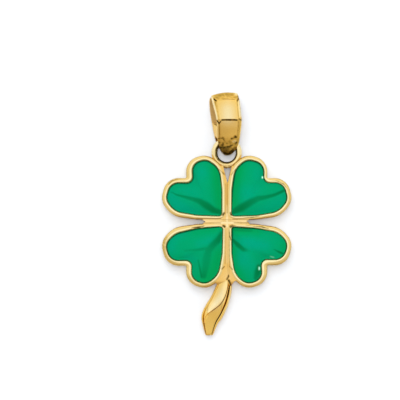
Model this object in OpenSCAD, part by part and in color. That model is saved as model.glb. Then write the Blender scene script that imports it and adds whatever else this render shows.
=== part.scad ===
// Four leaf clover pendant in polished gold with green enamel, lying face up.
// Millimetres. The origin is the middle of the clover on its flat back.
// +X runs to the right leaves, +Y towards the hanging ring, +Z out of the face.

/* [Leaves] */
// Width of one enamel field
leaf_w = 4.5; // [3.6:0.1:5.5]
// Height of one enamel field
leaf_h = 4.45; // [3.6:0.05:5.5]
// Gold between the left and the right enamel fields
bar_w = 0.78; // [0.7:0.02:1]
// Gold between the upper and the lower enamel fields
belt_w = 0.92; // [0.8:0.02:1.2]
// Width of the raised rim round each field
rim_w = 0.32; // [0.24:0.02:0.36]
// Height of the rims above the flat back
rim_h = 1.25; // [1:0.05:1.8]
// Thickness of the gold behind the enamel
plate_t = 0.4; // [0.3:0.05:0.5]

/* [Enamel] */
// Space between the enamel and the walls of its cell
enamel_gap = 0.02; // [0.01:0.01:0.05]
// Depth of the enamel's edge below the top of the rim
enamel_drop = 0.16; // [0.1:0.02:0.3]
// Rise of the enamel from its edge to its middle
enamel_crown = 0.2; // [0.05:0.01:0.3]
// Depth of the soft fold that runs across each field
fold_d = 0.05; // [0:0.01:0.1]
// Distance from the middle of the fold to its sides
fold_w = 0.4; // [0.3:0.05:0.6]

/* [Web] */
// Depth of the flat gold between the leaves below the top of the rims
web_drop = 0.12; // [0.06:0.02:0.3]
// Reach of the web to each side of the middle
web_reach = 1.8; // [1.2:0.1:2.4]

/* [Hanging ring] */
// Thickness of the ring's wire
wire_d = 0.48; // [0.36:0.02:0.52]
// Width of the hole in the ring
ring_hole = 1.48; // [1.4:0.02:2]
// Height of the middle of the wire above the flat back
ring_lift = 0.8; // [0.7:0.05:0.9]

/* [Bail] */
// Length from the lower tip to the top
bail_l = 5.08; // [4.6:0.1:6]
// Width across the front at its widest
bail_w = 2.08; // [1.8:0.02:2.3]
// Depth of the front crease before the middle of the wire
bail_front = 1.33; // [1.1:0.01:1.6]
// Depth of the back behind the middle of the wire
bail_back = 0.93; // [0.9:0.01:1.2]
// Thickness of the wall
bail_wall = 0.18; // [0.14:0.01:0.2]
// Width of the bevels along both sides of the front
bail_bevel = 0.34; // [0.2:0.02:0.4]
// Distance that the lower tip dips into the hole of the ring
bail_dip = 0.95; // [0.8:0.05:1.05]
// Room above the ring in its window
ring_room = 0.14; // [0.1:0.02:0.3]
// Angle by which its top is lifted
bail_pitch = 10.4; // [6:0.2:14]
// Angle by which it is rolled, so that its left side shows
bail_roll = 12; // [0:1:13]
// Angle by which it leans to the left
bail_lean = 2.5; // [0:0.1:5]

/* [Stem] */
// Length of the stem below the lower rims' meeting point
stem_l = 4.6; // [3.6:0.1:6]
// Width of the stem at its widest
stem_w = 1.64; // [1.2:0.02:2]
// Sideways sweep of the stem to the left
stem_sweep = 1.36; // [0.6:0.02:2]
// Height of the stem's ridge
stem_h = 1.25; // [1:0.05:1.6]

/* [Hidden] */
gold = "goldenrod";
green = "seagreen";
// Turn of an outline between two of its points, in degrees
turn_step = 14;
// Facets of a round blob, of the ring's wire and round the ring
blob_fn = 16;
wire_fn = 14;
ring_fn = 44;

web_h = rim_h - web_drop;
wire_r = wire_d / 2;
ring_r = ring_hole / 2 + wire_r;
// The ring stands on the shoulders of the upper leaves
ring_y = belt_w / 2 + leaf_h * 1.142;
// The lower tip of the bail hangs this far below the middle of the wire
bail_hang = bail_dip + wire_r;
// Where the stem starts, between the two lower leaves
stem_top = belt_w / 2 + leaf_h * 0.92;

// Corners of one enamel field, as shares of its width and height measured
// from the middle of the clover outwards, with the round of each corner as
// a share of the smaller of the two
//   across  up     round
leaf_corners = [
    [0.000, 0.000, 0.058],
    [0.447, 0.018, 0.670],
    [0.847, 0.076, 0.350],
    [1.016, 0.290, 0.207],
    [0.927, 0.611, 0.207],
    [0.558, 0.602, 0.102],
    [0.571, 0.944, 0.207],
    [0.282, 1.034, 0.211],
    [0.056, 0.863, 0.355],
    [0.000, 0.481, 0.670]];

// The middle that the enamel's crown rises to, in the same shares
crown_at = [0.31, 0.34];

// Sections of the bail from its lower tip to its top: places along it as
// shares of its length, depths of the front and the back as shares of
// bail_front and bail_back, half widths as shares of half its width
//   along  front  back   front_w back_w
bail_rows = [
    [0.000, 0.090, 0.120, 0.16, 0.16],
    [0.012, 0.210, 0.290, 0.26, 0.26],
    [0.040, 0.350, 0.450, 0.38, 0.36],
    [0.080, 0.480, 0.550, 0.50, 0.46],
    [0.140, 0.570, 0.640, 0.68, 0.58],
    [0.200, 0.610, 0.690, 0.79, 0.66],
    [0.260, 0.645, 0.730, 0.86, 0.73],
    [0.360, 0.725, 0.810, 0.92, 0.80],
    [0.480, 0.850, 0.910, 0.96, 0.87],
    [0.570, 0.955, 0.990, 0.98, 0.92],
    [0.611, 1.000, 1.000, 0.99, 0.94],
    [0.660, 0.930, 0.985, 1.00, 0.97],
    [0.760, 0.790, 0.920, 1.01, 1.02],
    [0.840, 0.670, 0.830, 1.01, 1.05],
    [0.900, 0.560, 0.700, 1.01, 1.07],
    [0.940, 0.430, 0.560, 1.00, 1.07],
    [0.968, 0.330, 0.450, 0.96, 1.03],
    [0.987, 0.230, 0.310, 0.84, 0.90],
    [1.000, 0.080, 0.110, 0.60, 0.62]];

// Sections of the stem from its top to its lower end: place down and to the
// left as shares of its length and sweep, half width as a share of half its
// width, place of the ridge from its left (-1) to its right (1) edge, and
// height as a share of stem_h
//   down   left   width  ridge  high
stem_rows = [
    [0.000, 0.040, 0.42,  0.30, 0.74],
    [0.120, 0.120, 0.72,  0.35, 0.90],
    [0.270, 0.260, 0.86,  0.35, 1.00],
    [0.425, 0.460, 0.94,  0.25, 1.00],
    [0.565, 0.710, 1.00, -0.05, 0.97],
    [0.700, 0.935, 0.94, -0.45, 0.92],
    [0.845, 1.010, 0.66, -0.50, 0.86],
    [0.960, 1.030, 0.44, -0.40, 0.80],
    [1.000, 1.030, 0.34, -0.30, 0.72]];

// Bends of the fold in the enamel of the upper and of the lower leaves:
// height of the fold for each place across, both as shares
fold_upper = [[0.00, 0.05], [0.20, 0.18], [0.35, 0.29], [0.58, 0.32], [0.76, 0.36], [1.00, 0.47]];
fold_lower = [[0.00, 0.10], [0.10, 0.32], [0.20, 0.37], [0.37, 0.40], [0.62, 0.41], [1.00, 0.45]];

function unit(v) = v / norm(v);

function heading(v) = atan2(v.y, v.x);

// Turn from one heading to the next, between -180 and 180 degrees
function turn(a, b) = (b - a + 540) % 360 - 180;

// Points round a polygon whose corners [x, y, round] are given anticlockwise.
// The outline is moved outwards by grow, and every grow gives as many points.
function rounded(corners, grow = 0) = [
    for (i = [0 : len(corners) - 1])
        let (
            n = len(corners),
            here = [corners[i].x, corners[i].y],
            before = here - [corners[(i + n - 1) % n].x, corners[(i + n - 1) % n].y],
            after = [corners[(i + 1) % n].x, corners[(i + 1) % n].y] - here,
            d0 = unit(before),
            d1 = unit(after),
            bend = turn(heading(d0), heading(d1)),
            side = sign(bend),
            reach = min(norm(before), norm(after)) / 2,
            base_r = min(corners[i].z, reach / tan(abs(bend) / 2)),
            r = max(base_r + side * grow, rim_w / 8),
            corner = here + grow * [d0.y + d1.y, -d0.x - d1.x] / (1 + d0 * d1),
            centre = corner - d0 * r * tan(abs(bend) / 2) + side * r * [-d0.y, d0.x],
            steps = max(1, ceil(abs(bend) / turn_step)))
        for (k = [0 : steps])
            let (a = heading(d0) + bend * k / steps)
            centre + side * r * [sin(a), -cos(a)]];

// Outline of the upper right enamel field, moved outwards by grow
function leaf_outline(grow = 0) = rounded(
    [for (c = leaf_corners) [
        bar_w / 2 + c[0] * leaf_w,
        belt_w / 2 + c[1] * leaf_h,
        c[2] * min(leaf_w, leaf_h)]],
    grow);

// Solid through rings of equally many points, stacked along their normal
module loft(rings) {
    n = len(rings[0]);
    last = len(rings) - 1;
    skin = [
        for (j = [0 : last - 1])
            for (i = [0 : n - 1])
                let (a = j * n + i, b = j * n + (i + 1) % n)
                for (f = [[a, a + n, b + n], [a, b + n, b]]) f];
    lower_end = [for (i = [0 : n - 1]) i];
    upper_end = [for (i = [n - 1 : -1 : 0]) last * n + i];
    polyhedron([for (ring = rings) for (p = ring) p], concat(skin, [lower_end, upper_end]), convexity = 8);
}

// Row of a table at a place between its rows, on a smooth curve through them
function smooth_row(rows, at) =
    let (
        i = min(floor(at), len(rows) - 2),
        t = at - i,
        p0 = rows[max(i - 1, 0)],
        p1 = rows[i],
        p2 = rows[i + 1],
        p3 = rows[min(i + 2, len(rows) - 1)])
    p1 + 0.5 * t * (p2 - p0 + t * (2 * p0 - 5 * p1 + 4 * p2 - p3 + t * (3 * (p1 - p2) + p3 - p0)));

// Puts what is drawn for the upper right leaf on any leaf
module on_leaf(side, level) {
    mirror([side < 0 ? 1 : 0, 0, 0])
        mirror([0, level < 0 ? 1 : 0, 0])
            children();
}

// One leaf's cell: a closed back, upright walls and a rounded rim on top
module leaf_cell() {
    back_edge = rim_w * 0.25;
    profile = [
        [rim_w - back_edge, 0],
        [rim_w, back_edge],
        [rim_w, rim_h - rim_w * 0.81],
        [rim_w * 0.86, rim_h - rim_w * 0.31],
        [rim_w * 0.56, rim_h],
        [rim_w * 0.3, rim_h],
        [0, rim_h - rim_w * 0.28],
        [0, plate_t]];
    loft([for (p = profile) [for (q = leaf_outline(p[0])) [q.x, q.y, p[1]]]]);
}

// Height of the enamel's face at a place p, s from its middle (0) to its edge (1)
function enamel_z(p, s, fold) =
    let (
        across = (p.x - bar_w / 2) / leaf_w,
        up = (p.y - belt_w / 2) / leaf_h,
        off = (up - lookup(across, fold)) * leaf_h,
        rise = enamel_crown * (1 - pow(s, 2.6)),
        dip = fold_d * exp(-pow(off / fold_w, 2)) * (1 - pow(s, 6)))
    rim_h - enamel_drop + rise - dip;

// Enamel of one leaf, drawn for the upper right leaf
module enamel(fold) {
    edge = leaf_outline(-enamel_gap);
    edge_round = enamel_drop * 0.2;
    middle = [bar_w / 2 + crown_at.x * leaf_w, belt_w / 2 + crown_at.y * leaf_h];
    wall = [
        for (z = [plate_t + enamel_gap, rim_h - enamel_drop - edge_round])
            [for (q = edge) [q.x, q.y, z]]];
    face = [
        for (s = [0.985, 0.93, 0.85, 0.76, 0.66, 0.55, 0.42, 0.27, 0.1])
            [for (q = edge)
                let (p = middle + (q - middle) * s)
                [p.x, p.y, enamel_z(p, s, fold)]]];
    loft(concat(wall, face));
}

// Flat gold from one round blob to another
module strap(from, to, from_r, to_r, high = web_h) {
    hull() {
        translate(from) cylinder(h = high, r = from_r, $fn = blob_fn);
        translate(to) cylinder(h = high, r = to_r, $fn = blob_fn);
    }
}

// The web between the leaves, which spreads where the stem starts
module web() {
    into_rim = rim_w * 0.375;
    arm_r = belt_w / 2 - rim_w + into_rim;
    bar_r = bar_w / 2 - rim_w + into_rim;
    notch_y = belt_w / 2 + leaf_h * 0.64;
    corner_r = leaf_corners[0].z * min(leaf_w, leaf_h);
    corner_at = [bar_w / 2 + corner_r, belt_w / 2 + corner_r];
    cylinder(h = web_h, r = norm(corner_at) - corner_r - rim_w + into_rim, $fn = blob_fn);
    for (side = [-1, 1]) {
        strap([0, 0], [side * (web_reach - arm_r), 0], arm_r, arm_r);
        strap([0, 0], [0, side * (notch_y - bar_r)], arm_r, bar_r);
        strap([0, -notch_y], [side * bar_w * 0.3, -stem_top - stem_l * 0.02], bar_r, bar_w * 0.5);
    }
}

// Solder that joins the hanging ring to the upper leaves
module solder() {
    for (side = [-1, 1])
        hull() {
            translate([0, ring_y - ring_r, ring_lift])
                sphere(r = wire_r * 0.9, $fn = blob_fn);
            translate([side * bar_w * 0.8, ring_y - ring_r + wire_r * 0.4, ring_lift])
                sphere(r = wire_r * 0.8, $fn = blob_fn);
        }
}

// Hanging ring, in the plane of the clover
module hanging_ring() {
    translate([0, ring_y, ring_lift])
        rotate_extrude($fn = ring_fn)
            translate([ring_r, 0])
                circle(r = wire_r, $fn = wire_fn);
}

// Middle of the stem at a place in its table
function stem_at(at) =
    let (row = smooth_row(stem_rows, at))
    [-row[1] * stem_sweep, -stem_top - row[0] * stem_l];

// Section of the stem: a flat back, a left facet up to the ridge, a right
// facet down to a shallow groove, and a narrow bevel along the right edge
function stem_section(at) =
    let (
        row = smooth_row(stem_rows, at),
        down = unit(stem_at(min(at + 0.2, len(stem_rows) - 1)) - stem_at(max(at - 0.2, 0))),
        right = [-down.y, down.x],
        half_w = row[2] * stem_w / 2,
        high = row[4] * stem_h,
        ridge = row[3],
        face = [
            [-0.90, 0.00],
            [-1.00, 0.08],
            [-1.00, 0.58],
            [-0.86, 0.74],
            [ridge * 0.5 - 0.43, 0.92],
            [ridge, 1.00],
            [ridge * 0.5 + 0.33, 0.91],
            [0.66, 0.72],
            [0.74, 0.73],
            [0.90, 0.70],
            [1.00, 0.56],
            [1.00, 0.08],
            [0.90, 0.00]])
    [for (f = face)
        let (p = stem_at(at) + right * f[0] * half_w)
        [p.x, p.y, f[1] * high]];

module stem() {
    last = len(stem_rows) - 1;
    loft([for (at = [last : -0.5 : 0]) stem_section(at)]);
}

// All that is soldered into one piece of gold
module clover_frame() {
    color(gold) {
        for (side = [-1, 1])
            for (level = [-1, 1])
                on_leaf(side, level) leaf_cell();
        web();
        solder();
        hanging_ring();
        stem();
    }
}

// Section of the bail across its length, with bevelled edges
function bail_section(row) =
    let (
        front = row[1] * bail_front,
        back = row[2] * bail_back,
        front_w = row[3] * bail_w / 2,
        back_w = row[4] * bail_w / 2,
        bevel_w = bail_bevel * min(1, front / bail_front / 0.6),
        bevel_d = min(bail_bevel * 0.35, front * 0.4),
        edge = [
            [-back_w, -back + bevel_d / 2],
            [-back_w + bevel_d / 2, -back],
            [back_w - bevel_d / 2, -back],
            [back_w, -back + bevel_d / 2],
            [front_w, front - bevel_d],
            [front_w - bevel_w, front],
            [-front_w + bevel_w, front],
            [-front_w, front - bevel_d]])
    [for (p = edge) [p.x, row[0] * bail_l, p.y]];

// Depth of the inside of the bail at a share of its length, in front or behind
function bail_inside(along, front) =
    lookup(along, [for (row = bail_rows) [row[0], front ? row[1] * bail_front : row[2] * bail_back]])
    - bail_wall;

// Window through the bail from side to side, which follows its walls past
// the given places, all shares of its length
module window(places) {
    corner_r = bail_wall * 1.1;
    last = len(places) - 1;
    back = [for (at = places) [at * bail_l, -bail_inside(at, false), corner_r]];
    front = [for (i = [last : -1 : 0]) [places[i] * bail_l, bail_inside(places[i], true), corner_r]];
    rotate([90, 0, 90])
        linear_extrude(height = 2 * bail_w, center = true)
            polygon(rounded(concat(back, front)));
}

// The loop, with a small window for the ring and a large one for the chain
module bail_body() {
    ring_window = (bail_hang + wire_r + ring_room) / bail_l;
    difference() {
        loft([for (i = [len(bail_rows) - 1 : -1 : 0]) bail_section(bail_rows[i])]);
        window([0.055, 0.14, ring_window]);
        window([0.5, 0.611, 0.76, 0.88, 0.955]);
    }
}

module bail() {
    color(gold)
        translate([0, ring_y + ring_r, ring_lift])
            rotate([0, 0, bail_lean])
                rotate([bail_pitch, 0, 0])
                    rotate([0, bail_roll, 0])
                        translate([0, -bail_hang, 0])
                            bail_body();
}

module enamel_upper_left() {
    color(green) on_leaf(-1, 1) enamel(fold_upper);
}

module enamel_upper_right() {
    color(green) on_leaf(1, 1) enamel(fold_upper);
}

module enamel_lower_left() {
    color(green) on_leaf(-1, -1) enamel(fold_lower);
}

module enamel_lower_right() {
    color(green) on_leaf(1, -1) enamel(fold_lower);
}

clover_frame();
bail();
enamel_upper_left();
enamel_upper_right();
enamel_lower_left();
enamel_lower_right();
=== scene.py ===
import bmesh
import bpy
import math
from mathutils import Matrix, Vector


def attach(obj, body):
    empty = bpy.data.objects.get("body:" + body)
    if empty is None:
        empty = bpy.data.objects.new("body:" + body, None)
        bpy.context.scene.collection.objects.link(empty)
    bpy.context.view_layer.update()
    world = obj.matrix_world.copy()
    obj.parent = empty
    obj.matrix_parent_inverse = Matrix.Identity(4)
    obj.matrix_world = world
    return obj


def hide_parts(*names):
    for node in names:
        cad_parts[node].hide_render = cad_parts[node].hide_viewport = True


# A four leaf clover pendant in polished gold with green enamel, which lies
# face up on a pale floor. Metres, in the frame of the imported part: the origin
# is the middle of the clover on its flat back, +Y runs to the hanging ring.
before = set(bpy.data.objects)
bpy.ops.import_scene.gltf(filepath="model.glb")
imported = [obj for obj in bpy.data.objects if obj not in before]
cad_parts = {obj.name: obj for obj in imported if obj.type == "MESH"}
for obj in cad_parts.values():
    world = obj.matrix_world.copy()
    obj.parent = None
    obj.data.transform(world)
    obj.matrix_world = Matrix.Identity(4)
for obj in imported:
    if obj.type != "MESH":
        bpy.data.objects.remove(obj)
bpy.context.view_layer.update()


# The leaf cells
# Four cells of cast yellow gold: a closed back, upright walls, and a polished
# rim that falls away outwards from a ridge and is bevelled towards the
# enamel. They are cast in one with the web.

MM = 0.001
leaf_w = 4.5 * MM
leaf_h = 4.45 * MM
bar_w = 0.74 * MM
belt_w = 0.92 * MM
rim_w = 0.34 * MM
rim_h = 1.25 * MM
plate_t = 0.4 * MM
foot_round = 0.06 * MM
# How many points each outline has
around = 360
# The side of each leaf: across and up
LEAVES = {
    "upper_left": (-1, 1), "upper_right": (1, 1), "lower_left": (-1, -1), "lower_right": (1, -1),
}

# Corners of the upper right field, anticlockwise from the clover's middle:
# shares of its width and height, and the round as a share of the smaller
#    across  up     round
leaf_corners = [
    (0.000, 0.000, 0.058),
    (0.447, 0.018, 0.670),
    (0.847, 0.076, 0.350),
    (1.018, 0.290, 0.207),
    (0.929, 0.611, 0.207),
    (0.560, 0.602, 0.102),
    (0.573, 0.944, 0.207),
    (0.284, 1.034, 0.211),
    (0.060, 0.863, 0.355),
    (0.004, 0.481, 0.670),
]
# No two fields are alike: how far corners of each lie from the common ones
#    corner  across  up
field_nudges = {
    "upper_left": [(0, 0, -0.012), (1, 0, -0.014), (2, 0, -0.004),
                   (5, -0.03, 0), (6, -0.028, 0), (8, -0.02, 0), (9, -0.006, 0)],
    "upper_right": [(0, 0, -0.012), (1, 0, -0.018), (2, 0, -0.006),
                    (5, 0.022, 0), (6, 0.022, 0)],
    "lower_left": [(0, -0.02, -0.022), (1, 0, -0.008), (2, 0, 0.034), (3, 0.01, 0.005),
                   (5, -0.016, 0), (6, -0.016, 0), (9, -0.01, 0)],
    "lower_right": [(0, 0, -0.02), (1, 0, -0.008), (2, 0, 0.01), (4, 0, -0.02),
                    (5, -0.028, -0.018), (6, -0.018, -0.006)],
}
# The cells themselves are a little broader along their lower edges
cell_nudges = {
    "upper_left": [(1, 0, -0.01), (2, 0.004, -0.012)],
    "upper_right": [(1, 0, -0.008), (2, 0, -0.01)],
    "lower_left": [(4, 0, 0.014), (5, 0, 0.01), (7, 0, 0.004)],
    "lower_right": [(4, 0, 0.006), (7, 0, 0.004)],
}
# The cell's face from the top of its side to the field: share of the rim's width,
# depth below the ridge in millimetres, and how strong a painted highlight it has,
# or how strong a painted shade where that is below 0
rim_profile = [
    (0.00, 0.280, 0.0), (0.00, 0.220, -0.5), (0.02, 0.150, -0.5), (0.06, 0.105, -0.5),
    (0.14, 0.070, -0.2), (0.26, 0.044, 0.0), (0.40, 0.024, 0.1), (0.55, 0.008, 0.4),
    (0.66, 0.000, 0.9), (0.80, 0.003, 1.0), (0.90, 0.013, 1.0), (0.96, 0.038, 0.8),
    (1.00, 0.100, 0.3),
]
# Small dark flaws left in the polished face, and painted shade along the lines where the web meets
# the rims: strokes in millimetres
#    x      y      half width  strength
flaws = [
    [(-4.68, 2.98, 0.04, 0.7), (-4.4, 3.27, 0.045, 0.9), (-3.96, 3.4, 0.04, 0.6),
     (-3.5, 3.42, 0.03, 0.4)],
    [(-0.62, 4.19, 0.035, 0.6), (-0.18, 3.79, 0.035, 0.8)],
    [(0.35, 3.75, 0.035, 0.8), (0.71, 4.19, 0.035, 0.5)],
    [(3.97, 3.31, 0.035, 0.5), (4.61, 2.98, 0.04, 0.8), (4.81, 2.7, 0.035, 0.5)],
    [(1.39, 0.29, 0.03, 0.4), (2.04, 0.33, 0.04, 0.9), (2.84, 0.44, 0.03, 0.4)],
    [(-2.79, -0.51, 0.045, 0.7), (-2.31, -0.45, 0.055, 1), (-1.83, -0.36, 0.04, 0.7)],
    [(0.43, -0.31, 0.05, 1), (0.75, -0.35, 0.035, 0.5)],
    [(1.55, -0.3, 0.03, 0.3), (2.84, -0.43, 0.045, 1), (3.32, -0.56, 0.04, 0.6)],
    [(0.2, -0.6, 0.035, 0.3), (0.24, -1.16, 0.05, 0.9), (0.33, -1.48, 0.045, 0.9)],
    [(-0.3, 0.54, 0.085, 1), (-0.21, 0.68, 0.075, 1)],
    [(0.38, 0.54, 0.085, 1), (0.31, 0.68, 0.075, 1)],
    [(-0.28, -0.36, 0.08, 1), (-0.17, -0.41, 0.08, 1)],
    [(0.32, -0.42, 0.1, 1), (0.55, -0.37, 0.07, 0.9)],
    [(-0.38, -3.81, 0.045, 0.9), (-0.2, -3.63, 0.035, 0.8)],
    [(0.23, -3.61, 0.035, 0.8), (0.45, -3.85, 0.045, 0.9)],
    [(0.145, -4.3, 0.04, 0.9), (0.14, -4.42, 0.06, 1), (0.02, -4.64, 0.06, 1)],
    [(0.16, -4.74, 0.08, 1), (0.27, -4.95, 0.07, 1), (0.36, -5.22, 0.05, 0.9)],
    # Painted shade along the lines where the web meets the rims
    [(-0.11, 3, 0.04, 0.3), (-0.11, 0.6, 0.04, 0.35)],
    [(0.04, 3, 0.04, 0.35), (0.04, 0.7, 0.04, 0.4)],
    [(0.18, -0.7, 0.04, 0.55), (0.2, -2.5, 0.04, 0.6), (0.2, -3.6, 0.035, 0.4)],
    [(-0.15, -0.6, 0.04, 0.3), (-0.12, -3.4, 0.04, 0.3)],
    [(-2.4, 0.22, 0.035, 0.35), (-0.5, 0.2, 0.04, 0.4)],
    [(-2.2, -0.13, 0.035, 0.4), (-0.5, -0.12, 0.04, 0.35)],
    [(0.5, 0.16, 0.04, 0.4), (2, 0.14, 0.035, 0.45)],
    [(0.6, -0.1, 0.04, 0.35), (1.9, -0.12, 0.04, 0.6)],
]
# Where the rims are darkened as painted shade, without a dent, in the same way
shaded_rims = [
    [(-5.1, -1, 0.35, 0.45), (-5.1, -2.6, 0.35, 0.4), (-4.4, -3.3, 0.35, 0.2)],
    [(-3.3, -4.6, 0.35, 0.3), (-1.2, -5, 0.35, 0.3)],
    [(1.2, -5, 0.35, 0.15), (3.3, -4.6, 0.35, 0.15)],
    [(5.1, 1, 0.3, 0.15), (5.1, 2.5, 0.3, 0.15)],
]


def rounded(corners, grow=0.0, step=math.radians(4)):
    """Points round an outline of corners (x, y, round), moved outwards by grow."""
    points = []
    for i, (x, y, corner_round) in enumerate(corners):
        here = Vector((x, y))
        before = here - Vector(corners[i - 1][:2])
        after = Vector(corners[(i + 1) % len(corners)][:2]) - here
        d0 = before.normalized()
        d1 = after.normalized()
        bend = math.atan2(d0.cross(d1), d0.dot(d1))
        side = math.copysign(1, bend)
        half = math.tan(abs(bend) / 2)
        reach = min(before.length, after.length) / 2
        radius = max(min(corner_round, reach / half) + side * grow, rim_w / 8)
        corner = here + grow * Vector((d0.y + d1.y, -d0.x - d1.x)) / (1 + d0.dot(d1))
        centre = corner - d0 * radius * half + side * radius * Vector((-d0.y, d0.x))
        steps = max(1, math.ceil(abs(bend) / step))
        for k in range(steps + 1):
            a = math.atan2(d0.y, d0.x) + bend * k / steps
            points.append(centre + side * radius * Vector((math.sin(a), -math.cos(a))))
    return points


def evenly(points, count):
    """The same closed line, through count points at even distances."""
    ring = points + [points[0]]
    runs = [(b - a).length for a, b in zip(ring, ring[1:])]
    spaced = []
    i = 0
    passed = 0.0
    for k in range(count):
        goal = sum(runs) * k / count
        while passed + runs[i] < goal:
            passed += runs[i]
            i += 1
        spaced.append(ring[i].lerp(ring[i + 1], (goal - passed) / max(runs[i], 1e-9)))
    return spaced


def leaf_outline(leaf, grow, nudges=()):
    """Outline of a leaf's field, moved outwards by grow."""
    side, level = LEAVES[leaf]
    small = min(leaf_w, leaf_h)
    corners = [list(corner) for corner in leaf_corners]
    for number, across, up in nudges:
        corners[number][0] += across
        corners[number][1] += up
    placed = [(bar_w / 2 + a * leaf_w, belt_w / 2 + b * leaf_h, r * small) for a, b, r in corners]
    return [Vector((p.x * side, p.y * level)) for p in evenly(rounded(placed, grow), around)]


def blank(name, outline, height):
    """A flat sheet cut to an outline, whose corners carry their numbers."""
    bpy.ops.mesh.primitive_circle_add(vertices=len(outline), fill_type="NGON")
    piece = bpy.context.object
    piece.name = name
    for vertex, (x, y) in zip(piece.data.vertices, outline):
        vertex.co = (x, y, height)
    numbers = piece.data.attributes.new("corner", "INT", "POINT")
    numbers.data.foreach_set("value", range(len(outline)))
    piece.data.attributes.new("mark", "FLOAT", "POINT")
    bpy.ops.object.mode_set(mode="EDIT")
    bpy.ops.mesh.select_all(action="SELECT")
    return piece


def rise(outline, height, mark=0.0):
    """Extrudes the selected sheet, lays its new edge on an outline at a height, and marks it."""
    bpy.ops.mesh.extrude_region_move()
    mesh = bmesh.from_edit_mesh(bpy.context.object.data)
    number = mesh.verts.layers.int["corner"]
    marked = mesh.verts.layers.float["mark"]
    for vertex in mesh.verts:
        if vertex.select:
            vertex.co = (*outline[vertex[number]], height)
            vertex[marked] = mark
    bmesh.update_edit_mesh(bpy.context.object.data)


def marks_of(piece):
    """The mark that each point of a piece was given when it was raised."""
    return [point.value for point in piece.data.attributes["mark"].data]


def close_up(piece, smooth_angle=35):
    """Ends the modelling of a piece: doubles merged, faces outwards, smooth up to an angle."""
    bpy.context.view_layer.objects.active = piece
    if piece.mode != "EDIT":
        bpy.ops.object.mode_set(mode="EDIT")
    bpy.ops.mesh.select_all(action="SELECT")
    bpy.ops.mesh.remove_doubles(threshold=1e-7)
    bpy.ops.mesh.normals_make_consistent(inside=False)
    bpy.ops.object.mode_set(mode="OBJECT")
    bpy.ops.object.select_all(action="DESELECT")
    piece.select_set(True)
    bpy.ops.object.shade_smooth_by_angle(angle=math.radians(smooth_angle))


def stroke_at(lines, x, y, firm=4):
    """Strength at a place of the strongest of some strokes, whose edges fade soft or firm."""
    best = 0.0
    here = Vector((x, y))
    for line in lines:
        for (x0, y0, w0, s0), (x1, y1, w1, s1) in zip(line, line[1:]):
            start = Vector((x0, y0))
            along = Vector((x1, y1)) - start
            t = min(max((here - start).dot(along) / along.length_squared, 0), 1)
            off = (here - start - along * t).length
            width = w0 + (w1 - w0) * t
            # Beyond 2.5 half widths next to nothing is left of a stroke
            if off < 2.5 * width:
                best = max(best, (s0 + (s1 - s0) * t) * math.exp(-0.7 * (off / width) ** firm))
    return best


def strength_at(lines, point, firm=4):
    """Strength at a point of a piece of the strongest of some strokes in millimetres."""
    return stroke_at(lines, point.x / MM, point.y / MM, firm)


def keep(piece, name, values):
    """Keeps a value for each point of a piece, or one for them all, for its material."""
    if isinstance(values, float):
        values = [values] * len(piece.data.vertices)
    kept = piece.data.attributes.get(name) or piece.data.attributes.new(name, "FLOAT", "POINT")
    kept.data.foreach_set("value", values)


flaw_depth = 0.04 * MM
face_from = rim_h - 0.3 * MM


def flaw_face(piece, shade_and_tarnish=None):
    """Sinks the small flaws into a piece's polished face, and darkens them and the rims' places of
    painted shade.
    """
    strengths = shade_and_tarnish or [0.0] * len(piece.data.vertices)
    for i, vertex in enumerate(piece.data.vertices):
        if vertex.co.z > face_from:
            strength = strength_at(flaws, vertex.co)
            vertex.co.z -= flaw_depth * strength
            strengths[i] = max(strengths[i], strength, strength_at(shaded_rims, vertex.co))
    keep(piece, "tarnish_and_shade", strengths)


def feed(tree, node, inputs):
    """Gives a node its inputs. One that is another node's socket is linked."""
    for key, value in inputs.items():
        if isinstance(value, bpy.types.NodeSocket):
            tree.links.new(value, node.inputs[key])
        else:
            node.inputs[key].default_value = value


def add_node(tree, kind, inputs=None, **settings):
    """A shader node of a kind with its settings and inputs."""
    made = tree.nodes.new("ShaderNode" + kind)
    for key, value in settings.items():
        setattr(made, key, value)
    feed(tree, made, inputs or {})
    return made


def noise(tree, place, scale, detail=2.0, roughness=0.5):
    """Soft noise round 0.5, with so many features to the metre."""
    settings = {"Vector": place, "Scale": scale, "Detail": detail, "Roughness": roughness}
    return add_node(tree, "TexNoise", settings).outputs["Fac"]


def maths(tree, operation, *values, **settings):
    """The outcome of one operation on values."""
    made = add_node(tree, "Math", dict(enumerate(values)), operation=operation, **settings)
    return made.outputs[0]


def spread(tree, value, low, high, to_low=0.0, to_high=1.0):
    """A value's range from low to high laid over another range."""
    ends = {"Value": value, "From Min": low, "From Max": high, "To Min": to_low, "To Max": to_high}
    return add_node(tree, "MapRange", ends).outputs["Result"]


def mixed(tree, share, under, over, blend="MIX"):
    """The colour under another, with so great a share of the other."""
    under, over = (c if isinstance(c, bpy.types.NodeSocket) else (*c, 1) for c in (under, over))
    ends = {"Factor": share, 6: under, 7: over}
    return add_node(tree, "Mix", ends, data_type="RGBA", blend_type=blend).outputs[2]


def kept_value(tree, name):
    """A value that the piece keeps for each of its points, 0 where it keeps none."""
    return add_node(tree, "Attribute", attribute_name=name).outputs["Fac"]


def relief(tree, height, depth):
    """The normal of a fine relief, of a height times a depth."""
    ends = {"Height": height, "Distance": depth, "Strength": 1.0}
    return add_node(tree, "Bump", ends).outputs["Normal"]


def effect(name, inputs, outputs):
    """An empty node group for an effect that materials share, with its inputs and its last node."""
    group = bpy.data.node_groups.new(name, "ShaderNodeTree")
    group.interface.new_socket("Place", in_out="INPUT", socket_type="NodeSocketVector")
    for label, value in inputs.items():
        socket = group.interface.new_socket(label, in_out="INPUT", socket_type="NodeSocketFloat")
        socket.default_value = value
    for label in outputs:
        group.interface.new_socket(label, in_out="OUTPUT", socket_type="NodeSocketFloat")
    return group, group.nodes.new("NodeGroupInput").outputs, group.nodes.new("NodeGroupOutput")


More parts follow.
